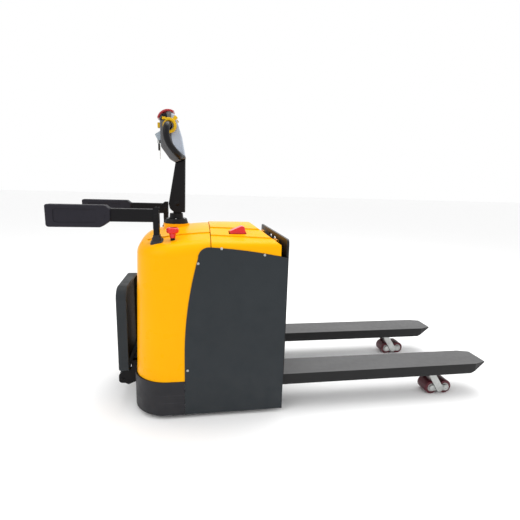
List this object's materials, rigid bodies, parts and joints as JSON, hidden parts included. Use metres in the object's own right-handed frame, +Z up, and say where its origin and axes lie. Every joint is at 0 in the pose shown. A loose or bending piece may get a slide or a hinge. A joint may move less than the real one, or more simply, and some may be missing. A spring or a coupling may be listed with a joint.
{
  "type": "powered pallet jack",
  "caption": "Battery-electric ride-on pallet jack with raised forks, tandem load rollers, tiller head, padded side guard arms and a fold-up operator platform.",
  "frame": {"origin": "on the ground, under the middle of the truck's bounding box", "axes": "+X along the forks to their tips, +Y to the left of somebody facing the forks, +Z up"},
  "size_m": [2.2, 0.7344, 1.457],
  "materials": {
    "yellow_paint": "gloss",
    "panel_paint": "satin texture",
    "black_paint": "satin",
    "fork_paint": "satin",
    "frame_paint": "satin",
    "zinc_steel": "zinc plated",
    "bright_rod": "polished",
    "cast_motor": "painted casting",
    "tread": "matt",
    "red_polyurethane": "satin",
    "battery_case": "matt",
    "controller_case": "anodised",
    "pad_plastic": "moulded grain",
    "boot_rubber": "matt",
    "mat_rubber": "ribbed",
    "red_plastic": "gloss",
    "yellow_plastic": "satin",
    "head_grey": "satin",
    "black_plastic": "satin",
    "brass_tag": "polished"
  },
  "bodies": {
    "chassis": {"chassis_frame": "frame_paint", "lower_skirt": "panel_paint", "front_cover": "yellow_paint", "side_panel_left": "panel_paint", "side_panel_right": "panel_paint", "panel_screws": "zinc_steel", "tiller_flange": "black_plastic", "estop_stem": "black_plastic", "arm_boots": "boot_rubber", "arm_posts": "black_paint", "platform_brackets": "black_paint", "battery": "battery_case", "motor_controller": "controller_case", "hydraulic_pump": "frame_paint", "lift_cylinder": "frame_paint"},
    "battery_lid": {"battery_cover": "yellow_paint"},
    "battery_disconnect": {"disconnect_handle": "red_plastic"},
    "steering": {"drive_head": "cast_motor", "drive_motor": "cast_motor", "tiller_collar": "black_paint"},
    "drive_wheel": {"drive_wheel": "tread"},
    "tiller": {"tiller_arm": "black_paint", "head_shell": "head_grey", "head_bezel": "black_plastic", "hand_grips": "black_plastic", "display_box": "black_plastic", "key_switch": "zinc_steel"},
    "throttle": {"throttle_paddles": "yellow_plastic"},
    "belly": {"belly_button": "red_plastic"},
    "horn": {"horn_button": "yellow_plastic"},
    "lift_switch": {"lift_button": "yellow_plastic"},
    "lower_switch": {"lower_button": "yellow_plastic"},
    "key": {"ignition_key": "black_plastic", "key_tag": "brass_tag"},
    "estop": {"estop_button": "red_plastic"},
    "platform": {"platform_tray": "panel_paint", "platform_mat": "mat_rubber"},
    "guard_left": {"guard_arm_left": "black_paint", "arm_pad_left": "pad_plastic"},
    "guard_right": {"guard_arm_right": "black_paint", "arm_pad_right": "pad_plastic"},
    "carriage": {"carriage": "fork_paint", "fork_left": "fork_paint", "fork_right": "fork_paint", "lift_rod": "bright_rod"},
    "rocker": {"rocker_shaft": "zinc_steel"},
    "caster_left": {"caster_fork_left": "zinc_steel"},
    "caster_wheel_left": {"caster_wheel_left": "tread"},
    "push_rod_left": {"push_rod_left": "zinc_steel"},
    "load_arm_left": {"load_arm_left": "zinc_steel"},
    "bogie_left": {"bogie_left": "zinc_steel"},
    "roller_front_left": {"roller_front_left": "red_polyurethane"},
    "roller_back_left": {"roller_back_left": "red_polyurethane"},
    "caster_right": {"caster_fork_right": "zinc_steel"},
    "caster_wheel_right": {"caster_wheel_right": "tread"},
    "push_rod_right": {"push_rod_right": "zinc_steel"},
    "load_arm_right": {"load_arm_right": "zinc_steel"},
    "bogie_right": {"bogie_right": "zinc_steel"},
    "roller_front_right": {"roller_front_right": "red_polyurethane"},
    "roller_back_right": {"roller_back_right": "red_polyurethane"}
  },
  "joints": [
    {"name": "steer", "type": "hinge", "parent": "chassis", "child": "steering", "pos_m": [-0.569, 0, 0.9], "axis": [0, 0, 1], "range_deg": [-90, 90]},
    {"name": "drive_wheel_spin", "type": "hinge", "parent": "steering", "child": "drive_wheel", "pos_m": [-0.569, 0, 0.115], "axis": [0, 1, 0], "continuous": true},
    {"name": "tiller_tilt", "type": "hinge", "parent": "steering", "child": "tiller", "pos_m": [-0.563, 0, 1.003], "axis": [0, -1, 0], "range_deg": [0, 70], "stiffness_Nm_per_rad": 14, "springref_deg": -11.46},
    {"name": "throttle_turn", "type": "hinge", "parent": "tiller", "child": "throttle", "pos_m": [-0.595, 0, 1.378], "axis": [0, 1, 0], "range_deg": [-25, 25], "stiffness_Nm_per_rad": 0.6},
    {"name": "belly_press", "type": "slide", "parent": "tiller", "child": "belly", "axis": [0.4067, 0, -0.9136], "range_m": [0, 0.005], "stiffness_N_per_m": 800, "springref_m": -0.004},
    {"name": "horn_press", "type": "slide", "parent": "tiller", "child": "horn", "axis": [1, 0, 0], "range_m": [0, 0.003], "stiffness_N_per_m": 300, "springref_m": -0.002},
    {"name": "lift_press", "type": "slide", "parent": "tiller", "child": "lift_switch", "axis": [0, 1, 0], "range_m": [0, 0.0025], "stiffness_N_per_m": 300, "springref_m": -0.001},
    {"name": "lower_press", "type": "slide", "parent": "tiller", "child": "lower_switch", "axis": [0, -1, 0], "range_m": [0, 0.0025], "stiffness_N_per_m": 300, "springref_m": -0.001},
    {"name": "key_turn", "type": "hinge", "parent": "tiller", "child": "key", "pos_m": [-0.648, -0.012, 1.28], "axis": [0, 0, 1], "range_deg": [0, 60]},
    {"name": "lid_open", "type": "hinge", "parent": "chassis", "child": "battery_lid", "pos_m": [-0.07, 0, 0.838], "axis": [0, 1, 0], "range_deg": [0, 75]},
    {"name": "disconnect_pull", "type": "slide", "parent": "battery_lid", "child": "battery_disconnect", "axis": [0, 0, 1], "range_m": [0, 0.035]},
    {"name": "estop_press", "type": "slide", "parent": "chassis", "child": "estop", "axis": [0, 0, -1], "range_m": [0, 0.005]},
    {"name": "platform_fold", "type": "hinge", "parent": "chassis", "child": "platform", "pos_m": [-0.845, 0, 0.097], "axis": [0, -1, 0], "range_deg": [0, 90]},
    {"name": "guard_left_lift", "type": "hinge", "parent": "chassis", "child": "guard_left", "pos_m": [-0.643, 0.268, 0.959], "axis": [0, -1, 0], "range_deg": [-90, 0]},
    {"name": "guard_right_lift", "type": "hinge", "parent": "chassis", "child": "guard_right", "pos_m": [-0.643, -0.268, 0.959], "axis": [0, -1, 0], "range_deg": [-90, 0]},
    {"name": "fork_lift", "type": "slide", "parent": "chassis", "child": "carriage", "axis": [0, 0, 1], "range_m": [-0.105, 0]},
    {"name": "rocker_turn", "type": "hinge", "parent": "carriage", "child": "rocker", "pos_m": [-0.072, 0, 0.15], "axis": [0, 1, 0], "range_deg": [-53.48, 0]},
    {"name": "caster_swivel_left", "type": "hinge", "parent": "chassis", "child": "caster_left", "pos_m": [-0.52, 0.245, 0.15], "axis": [0, 0, 1], "continuous": true},
    {"name": "caster_roll_left", "type": "hinge", "parent": "caster_left", "child": "caster_wheel_left", "pos_m": [-0.486, 0.245, 0.0625], "axis": [0, 1, 0], "continuous": true},
    {"name": "push_rod_slide_left", "type": "slide", "parent": "carriage", "child": "push_rod_left", "axis": [1, 0, 0], "range_m": [-0.01983, 0]},
    {"name": "load_arm_swing_left", "type": "hinge", "parent": "carriage", "child": "load_arm_left", "pos_m": [0.78014, 0.2575, 0.15], "axis": [0, 1, 0], "range_deg": [-53.48, 0]},
    {"name": "bogie_level_left", "type": "hinge", "parent": "load_arm_left", "child": "bogie_left", "pos_m": [0.854, 0.2575, 0.037], "axis": [0, 1, 0], "range_deg": [0, 53.48]},
    {"name": "roller_front_spin_left", "type": "hinge", "parent": "bogie_left", "child": "roller_front_left", "pos_m": [0.894, 0.2575, 0.037], "axis": [0, 1, 0], "continuous": true},
    {"name": "roller_back_spin_left", "type": "hinge", "parent": "bogie_left", "child": "roller_back_left", "pos_m": [0.814, 0.2575, 0.037], "axis": [0, 1, 0], "continuous": true},
    {"name": "caster_swivel_right", "type": "hinge", "parent": "chassis", "child": "caster_right", "pos_m": [-0.52, -0.245, 0.15], "axis": [0, 0, 1], "continuous": true},
    {"name": "caster_roll_right", "type": "hinge", "parent": "caster_right", "child": "caster_wheel_right", "pos_m": [-0.486, -0.245, 0.0625], "axis": [0, 1, 0], "continuous": true},
    {"name": "push_rod_slide_right", "type": "slide", "parent": "carriage", "child": "push_rod_right", "axis": [1, 0, 0], "range_m": [-0.01983, 0]},
    {"name": "load_arm_swing_right", "type": "hinge", "parent": "carriage", "child": "load_arm_right", "pos_m": [0.78014, -0.2575, 0.15], "axis": [0, 1, 0], "range_deg": [-53.48, 0]},
    {"name": "bogie_level_right", "type": "hinge", "parent": "load_arm_right", "child": "bogie_right", "pos_m": [0.854, -0.2575, 0.037], "axis": [0, 1, 0], "range_deg": [0, 53.48]},
    {"name": "roller_front_spin_right", "type": "hinge", "parent": "bogie_right", "child": "roller_front_right", "pos_m": [0.894, -0.2575, 0.037], "axis": [0, 1, 0], "continuous": true},
    {"name": "roller_back_spin_right", "type": "hinge", "parent": "bogie_right", "child": "roller_back_right", "pos_m": [0.814, -0.2575, 0.037], "axis": [0, 1, 0], "continuous": true}
  ],
  "couplings": [
    {"joint": "rocker_turn", "follows": "fork_lift", "rad_per_m": 8.8814},
    {"joint": "load_arm_swing_left", "follows": "fork_lift", "rad_per_m": 8.8814},
    {"joint": "bogie_level_left", "follows": "fork_lift", "rad_per_m": -8.8814},
    {"joint": "push_rod_slide_left", "follows": "fork_lift", "ratio": 0.18839},
    {"joint": "load_arm_swing_right", "follows": "fork_lift", "rad_per_m": 8.8814},
    {"joint": "bogie_level_right", "follows": "fork_lift", "rad_per_m": -8.8814},
    {"joint": "push_rod_slide_right", "follows": "fork_lift", "ratio": 0.18839}
  ]
}
